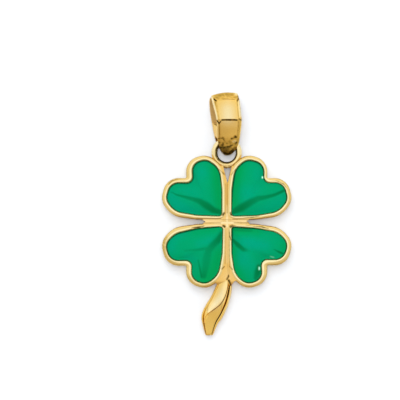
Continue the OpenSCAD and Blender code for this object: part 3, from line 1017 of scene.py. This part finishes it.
def bail_row(along):
    """The table's row at a share of the bail's length, straight between its rows."""
    for low, high in zip(bail_rows, bail_rows[1:]):
        if along <= high[0]:
            break
    t = (along - low[0]) / (high[0] - low[0])
    return [a + (b - a) * t for a, b in zip(low, high)]


def bail_inside(along, in_front):
    """Depth of the inside of the bail at a share of its length."""
    _, front, back, _, _ = bail_row(along)
    return (front * bail_front if in_front else back * bail_back) - bail_wall


def cut(piece, tool):
    """Cuts one piece with another, which is used up."""
    bpy.ops.object.select_all(action="DESELECT")
    bpy.context.view_layer.objects.active = piece
    piece.select_set(True)
    modifier = piece.modifiers.new("cut", "BOOLEAN")
    modifier.operation = "DIFFERENCE"
    modifier.solver = "EXACT"
    modifier.object = tool
    bpy.ops.object.modifier_apply(modifier=modifier.name)
    bpy.data.objects.remove(tool)


def window(places):
    """A block that cuts through the bail from side to side and follows its walls."""
    corner = bail_wall * 1.1
    back = [(at * bail_l, -bail_inside(at, False), corner) for at in places]
    front = [(at * bail_l, bail_inside(at, True), corner) for at in reversed(places)]
    block = blank("window", rounded(back + front), -bail_w)
    bpy.ops.mesh.extrude_region_move(TRANSFORM_OT_translate={"value": (0, 0, 2 * bail_w)})
    close_up(block)
    # Drawn flat, it is stood up: across runs along the bail, and up runs outwards
    block.data.transform(Matrix(((0, 0, 1, 0), (1, 0, 0, 0), (0, 1, 0, 0), (0, 0, 0, 1))))
    return block


def front_at(across, along):
    """A place on the bail's front, from its half widths and its share of the length."""
    _, front, _, front_w, _ = bail_row(along)
    half = front_w * bail_w / 2
    panel = half - bail_bevel
    x = across * half
    y = along * bail_l - slant(along) * x + top_bow(across, along)
    fall = max(0.0, (abs(x) - panel) / bail_bevel) ** 1.5 * bevel_depth
    return Vector((x, y, front * bail_front - fall))


def graver(places, half_width, depth):
    """A slender blade laid along places on the bail's front, to cut a line there."""
    path = [front_at(*place) for place in places]
    sections = []
    for k, spot in enumerate(path):
        run = (path[min(k + 1, len(path) - 1)] - path[max(k - 1, 0)]).normalized()
        across = run.cross(Vector((0, 0, 1))).normalized()
        thin = 0.25 if k in (0, len(path) - 1) else 1.0
        w = across * half_width * thin
        d = Vector((0, 0, depth * thin))
        blade = (spot + w + d, spot + d * 2, spot - w + d, spot - d)
        sections.append([tuple(point) for point in blade])
    tool = loft("graver", sections)
    close_up(tool)
    return tool


lower_rows = bail_rows[:crease_row + 1]
upper_rows = bail_rows[crease_row:]
smooth_rows = [smooth_row(lower_rows, k / 8) for k in range(8 * crease_row)]
smooth_rows += [smooth_row(upper_rows, k / 8) for k in range(8 * (len(upper_rows) - 1) + 1)]
bail = loft("bail", [bail_section(row) for row in smooth_rows])
close_up(bail)
# The lower window ends a little above the ring's wire, which hangs free in it
ring_room = 0.14 * MM
cut(bail, window([0.055, 0.14, (bail_hang + wire_r + ring_room) / bail_l]))
cut(bail, window([0.5, 0.611, 0.76, 0.88, 0.955]))
# The ends and the creases are bowed and slanted once the windows are cut
for vertex in bail.data.vertices:
    dome = back_dome + (bail_dome - back_dome) * ease(-0.1, 0.1, vertex.co.z / MM)
    along = vertex.co.y / bail_l
    vertex.co.y += top_bow(2 * vertex.co.x / bail_w, along, dome) - slant(along) * vertex.co.x
# The crease, a V at its left, a nick at its right, the line below the top, and
# the notches in its corners: places, and half width and depth in millimetres
engraved = [
    ([(-0.6, 0.599), (-0.3, 0.601), (0, 0.601), (0.3, 0.601), (0.6, 0.599)], 0.12, 0.07),
    ([(-0.96, 0.583), (-0.83, 0.537), (-0.67, 0.583)], 0.08, 0.07),
    ([(0.76, 0.618), (0.86, 0.608), (0.97, 0.592)], 0.07, 0.06),
    ([(-0.6, 0.91), (-0.2, 0.911), (0.1, 0.911), (0.4, 0.911), (0.76, 0.908)], 0.04, 0.02),
    ([(-1.02, 0.925), (-0.93, 0.905), (-0.82, 0.888)], 0.08, 0.1),
    ([(0.83, 0.895), (0.87, 0.913), (0.91, 0.932)], 0.09, 0.1),
]
for places, half_width, depth in engraved:
    cut(bail, graver(places, half_width * MM, depth * MM))
for vertex in bail.data.vertices:
    for x, y, reach, height in ears:
        off = (vertex.co.xy / MM - Vector((x, y))).length / reach
        vertex.co.y += height * MM * math.exp(-off ** 2) * ease(-0.1, 0.2, vertex.co.z / MM)

# Tarnish, painted shade, pits and painted highlights, laid on while the bail
# still stands in its own frame: millimetres from its lower end, the half width
# and the strength
cut_lines = []
# Cuts at least this deep, in millimetres, are full of dirt
full_dirt = 0.05
for places, half_width, depth in engraved:
    strength = min(1.0, depth / full_dirt)
    cut_lines.append([(*(front_at(*place) / MM).xy, half_width * 0.6, strength) for place in places])
dark_lines = cut_lines + [
    # Painted shade along the edges of the front panel
    [(0.68, 1.6, 0.06, 0.5), (0.74, 2.6, 0.06, 0.5), (0.74, 3, 0.05, 0.5)],
    [(0.76, 3.2, 0.04, 0.5), (0.78, 3.9, 0.04, 0.4), (0.82, 4.5, 0.06, 0.6)],
    [(-0.78, 1.7, 0.06, 0.6), (-0.82, 2.5, 0.06, 0.6), (-0.82, 2.8, 0.05, 0.5)],
    [(-0.86, 3.1, 0.07, 0.4), (-0.9, 4, 0.08, 0.4), (-1, 4.5, 0.08, 0.6)],
    [(-0.74, 0.76, 0.14, 1), (-0.32, 0.77, 0.15, 1), (0, 0.8, 0.12, 1),
     (0.3, 0.92, 0.07, 0.8)],
    [(-0.8, 1.52, 0.1, 0.9), (-0.7, 1.58, 0.06, 0.4), (-0.55, 1.6, 0.09, 0.8),
     (-0.44, 1.5, 0.08, 0.8)],
    [(-0.78, 1.16, 0.11, 1), (-0.7, 1.05, 0.06, 0.6), (-0.58, 0.98, 0.1, 1)],
    [(-0.4, 1.24, 0.09, 0.8), (-0.2, 1.1, 0.05, 0.5), (0.02, 1.2, 0.08, 0.7)],
    [(0.22, 1.46, 0.11, 0.9), (0.36, 1.52, 0.06, 0.6), (0.48, 1.6, 0.12, 1),
     (0.62, 1.54, 0.09, 0.9)],
    [(0.56, 1, 0.11, 1), (0.66, 1.16, 0.08, 0.9)],
    [(-0.56, 0.36, 0.16, 1), (0.14, 0.38, 0.14, 1)],
    # Painted shade down the bevels
    [(0.8, 1.4, 0.12, 0.3), (0.84, 3, 0.12, 0.3)],
    [(-0.84, 3.2, 0.08, 0.15), (-0.88, 4.5, 0.08, 0.15)],
]
pitted_spots = [
    [(-0.76, 1.5, 0.16, 0.9), (-0.4, 1.36, 0.18, 0.9)],
    [(-0.62, 1.05, 0.24, 1), (0.1, 1, 0.22, 0.9)],
    [(0.3, 1.4, 0.16, 0.7), (0.6, 1.2, 0.16, 0.7)],
    [(-0.4, 0.5, 0.22, 1), (0.3, 0.5, 0.22, 1)],
]
# Painted highlights on the front and its edges
highlight_spots = [
    [(0.36, 1.2, 0.07, 0.8), (0.5, 1.22, 0.07, 0.8)],
    [(-0.35, 2.72, 0.25, 0.2), (0.4, 2.66, 0.25, 0.2)],
    [(-0.1, 3.3, 0.5, 0.9), (-0.05, 3.8, 0.5, 0.8), (0, 4.2, 0.4, 0.4)],
    [(0.98, 3.3, 0.12, 1), (1.02, 4.4, 0.12, 1)],
    [(-0.92, 1.7, 0.06, 0.4), (-0.98, 3, 0.06, 0.6)],
    [(-1.12, 5, 0.12, 0.8), (-1.08, 5.05, 0.12, 0.8)],
    [(0.86, 4.98, 0.12, 1), (0.92, 5.02, 0.12, 1)],
]
# A painted highlight along the left edge
bright_edge = [
    [(-1, 3.1, 0.06, 1), (-1.01, 3.5, 0.07, 1), (-1.09, 4, 0.07, 1),
     (-1.16, 4.5, 0.08, 1), (-1.19, 4.8, 0.09, 1)],
]
# Inside, the bail keeps its satin cast surface; the inside of its front plate is
# painted dark as shade, and that of its back lighter as a painted highlight. Its
# tip is painted dark, and its fall to the tip and its cap carry painted shade.
bail_marks = {"tarnish_and_shade": [], "pitting": [], "painted_highlight": [], "satin": []}
skin = 0.03 * MM
for vertex in bail.data.vertices:
    x, y, z = vertex.co / MM
    along = vertex.co.y / bail_l
    low = -bail_inside(along, False) - skin
    high = bail_inside(along, True) + skin
    inside = 0.5 < along < 0.96 and low < vertex.co.z < high
    line = pits = painted_highlight = 0.0
    if inside:
        line = 0.8 if z > 0 else 0.1
        painted_highlight = 0.0 if z > 0 else 0.7
    elif z > 0:
        line = strength_at(dark_lines, vertex.co)
        pits = strength_at(pitted_spots, vertex.co, 2)
        painted_highlight = max(strength_at(highlight_spots, vertex.co, 2), strength_at(bright_edge, vertex.co))
    # Painted shade on the outer walls that face left
    if vertex.normal.x < -0.8 and not inside:
        line = max(line, (0.2 if along < 0.55 else 0.1) * (1 - painted_highlight))
    tip = 0.8 * (1 - ease(0.13, 0.17, along)) + 0.25 * (1 - ease(0.05, 0.10, along))
    cap = 0.5 * ease(0.89, 0.93, along) * (1 - painted_highlight)
    fall = 0.55 * (1 - ease(0.24, 0.35, along)) * (1 - painted_highlight)
    bail_marks["tarnish_and_shade"].append(max(line, cap, fall, tip if z > 0 else 0.3 * tip))
    bail_marks["pitting"].append(pits)
    bail_marks["painted_highlight"].append(painted_highlight)
    bail_marks["satin"].append(float(inside))
for name, values in bail_marks.items():
    keep(bail, name, values)

hang = Matrix.Translation((0, ring_y + ring_r, ring_lift)) @ Matrix.Rotation(bail_lean, 4, "Z")
hang = hang @ Matrix.Rotation(bail_pitch, 4, "X") @ Matrix.Rotation(bail_roll, 4, "Y")
bail.data.transform(hang @ Matrix.Translation((0, -bail_hang, 0)))
close_up(bail, 24)
place_piece(bail, cast_gold, "bail")


# The floor
# A plain near-white card, which isn't part of the pendant.

floor_size = 0.6
bpy.ops.mesh.primitive_plane_add(size=floor_size, location=(0, 0, 0))
floor = bpy.context.object
floor.name = "floor"
card = bpy.data.materials.new("white_card")
card.use_nodes = True
tree = card.node_tree
grain = noise(tree, add_node(tree, "TexCoord").outputs["Object"], 3000.0, 3.0)
tone = mixed(tree, grain, (0.605, 0.63, 0.67), (0.625, 0.65, 0.69))
feed(tree, tree.nodes["Principled BSDF"], {
    "Base Color": tone, "Roughness": 0.8, "Specular IOR Level": 0.1})
floor.data.materials.append(card)


# The light
# A white tent: bright at the picture's top, soft at the sides, and dim and
# warm towards its bottom and near the floor, brightest right overhead.

world = bpy.data.worlds.new("tent")
bpy.context.scene.world = world
world.use_nodes = True
sky = world.node_tree
direction = add_node(sky, "TexCoord").outputs["Generated"]
parts = add_node(sky, "SeparateXYZ", {"Vector": direction}).outputs
# The sides count as lying a little towards the picture's top
side_share = 0.55
sideways = maths(sky, "MULTIPLY", parts["X"], parts["X"])
towards_top = maths(sky, "MULTIPLY_ADD", sideways, side_share, parts["Y"])
tent = add_node(sky, "ValToRGB", {"Fac": spread(sky, towards_top, -1.0, 1.0)})
# Place from the picture's bottom to its top, brightness, and warmth
tent_tones = [
    (0.00, 0.30, 0.35), (0.08, 0.56, 0.32), (0.20, 0.78, 0.20), (0.35, 0.82, 0.08),
    (0.50, 0.87, 0.00), (0.65, 0.93, 0.00), (0.78, 1.00, 0.00), (0.90, 1.07, 0.00),
    (1.00, 1.35, 0.00),
]
while len(tent.color_ramp.elements) < len(tent_tones):
    tent.color_ramp.elements.new(0.5)
for element, (place, bright, warmth) in zip(tent.color_ramp.elements, tent_tones):
    element.position = place
    element.color = (bright / 2, bright / 2 * (1 - 0.45 * warmth), bright / 2 * (1 - warmth), 1)
raised = spread(sky, parts["Z"], 0.0, 0.22, 0.5, 2.0)
overhead = spread(sky, parts["Z"], 0.90, 0.985, 0.0, 0.6)
strength = maths(sky, "ADD", raised, overhead)
feed(sky, sky.nodes["Background"], {"Color": tent.outputs["Color"], "Strength": strength})

# The lamps: place, size and power. They aren't seen in the gold or the glaze.
lamps = [((-0.03, 0.14, 0.32), 0.24, 0.55), ((0.0, 0.01, 0.35), 0.10, 0.55)]
for place, size, power in lamps:
    bpy.ops.object.light_add(type="AREA", location=place)
    lamp = bpy.context.object
    lamp.data.shape = "DISK"
    lamp.data.size = size
    lamp.data.energy = power
    lamp.visible_glossy = False
    lamp.rotation_euler = (-lamp.location).to_track_quat("-Z", "Y").to_euler()


# The camera
# Straight above, with a long lens. The picture shows 32.2 mm of the floor.

shown_w = 400 / 12.43 * MM
lens = 200.0
sensor = 36.0
face_z = 1.0 * MM
# The picture's middle, left of and above the clover's
middle = (-2.148 * MM, 1.738 * MM)
camera_data = bpy.data.cameras.new("camera")
camera_data.lens = lens
camera_data.sensor_width = sensor
camera = bpy.data.objects.new("camera", camera_data)
bpy.context.scene.collection.objects.link(camera)
camera_distance = shown_w * lens / sensor
camera.location = (*middle, face_z + camera_distance)
camera_data.clip_start = camera_distance * 0.1
camera_data.clip_end = 10.0
bpy.context.scene.camera = camera
bpy.context.scene.view_settings.view_transform = "Standard"
bpy.context.scene.view_settings.look = "None"
